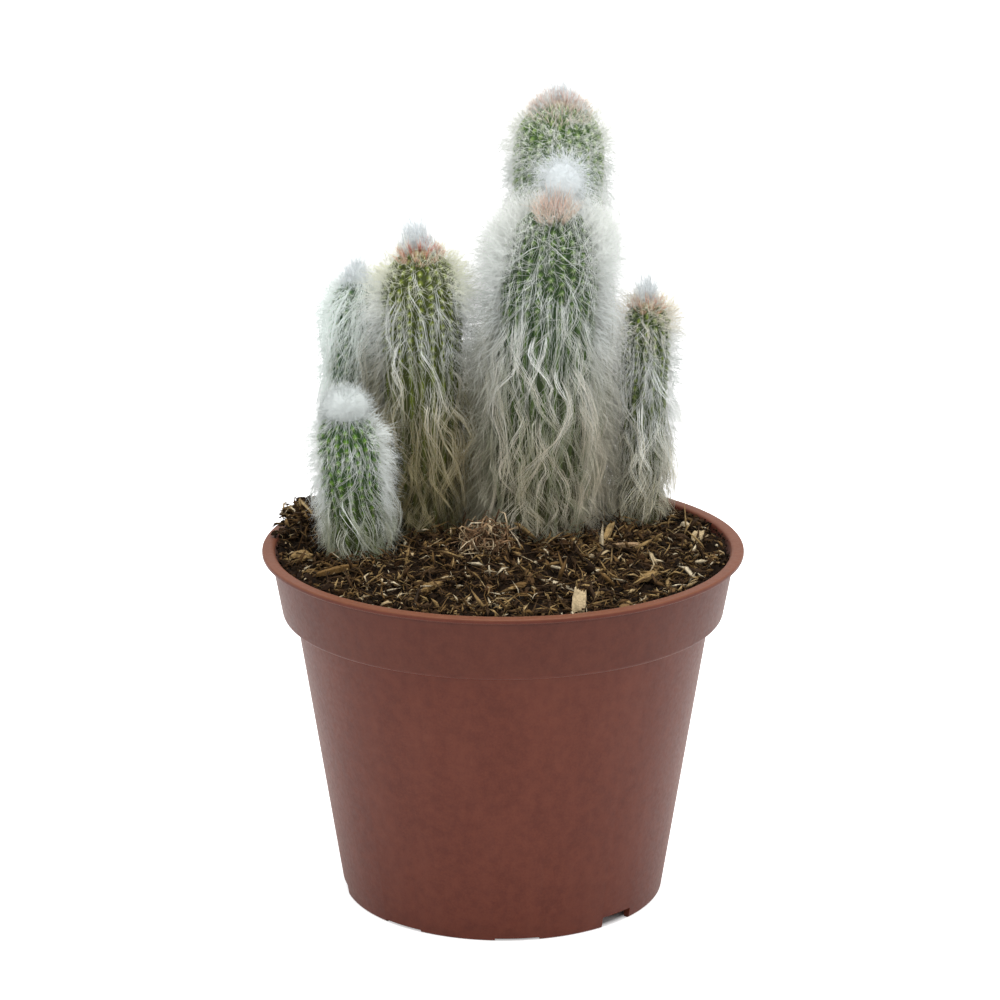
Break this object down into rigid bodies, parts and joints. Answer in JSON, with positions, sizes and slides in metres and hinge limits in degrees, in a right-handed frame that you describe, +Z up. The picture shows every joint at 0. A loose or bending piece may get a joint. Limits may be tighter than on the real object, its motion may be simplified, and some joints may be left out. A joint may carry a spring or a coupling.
{
  "type": "potted old man cactus",
  "caption": "Cluster of woolly columnar cactus stems of different heights, rooted in peat and wood fibre in a round plastic nursery pot with a deep rim band.",
  "frame": {"origin": "middle of the pot's foot, on the surface it stands on", "axes": "+Z up along the pot, -Y towards the front, with the small stem at the front left (-X) and the slim stem on the right (+X)"},
  "size_m": [0.12, 0.12, 0.199],
  "materials": {
    "pot_plastic": "semi-matte terracotta-brown injection-moulded plastic with a fine mottle",
    "potting_mix": "loose dark peat with wood fibres",
    "cactus_flesh": "waxy green ribbed skin",
    "cactus_hair": "long silky white to grey-beige hair",
    "wool_tuft": "dense soft white wool at the stem tips",
    "cactus_spine": "short straw-coloured bristles, reddish at the crowns",
    "wood_chip": "dry split wood, fibrous",
    "wood_stick": "dry split sticks and splinters",
    "bark": "rough bark and matted fibre",
    "grain": "dull pale grain"
  },
  "bodies": {
    "root": {"pot": "pot_plastic", "potting_mix": "potting_mix", "stem_front": "cactus_flesh", "hair_front": "cactus_hair", "stem_left": "cactus_flesh", "hair_left": "cactus_hair", "stem_right": "cactus_flesh", "hair_right": "cactus_hair", "stem_front_left": "cactus_flesh", "hair_front_left": "cactus_hair", "stem_back": "cactus_flesh", "hair_back": "cactus_hair", "stem_rear_left": "cactus_flesh", "hair_rear_left": "cactus_hair", "wood_chip_front": "wood_chip", "wood_chip_front_left": "wood_chip", "wood_chip_front_middle": "wood_chip", "wood_chip_front_right": "wood_chip", "wood_chip_right": "wood_chip", "stick_back": "wood_stick", "splinter_reddish": "wood_stick", "stick_left": "wood_stick", "bark_lump_left": "bark", "fibre_tangle": "bark", "pale_grain": "grain"}
  },
  "joints": []
}
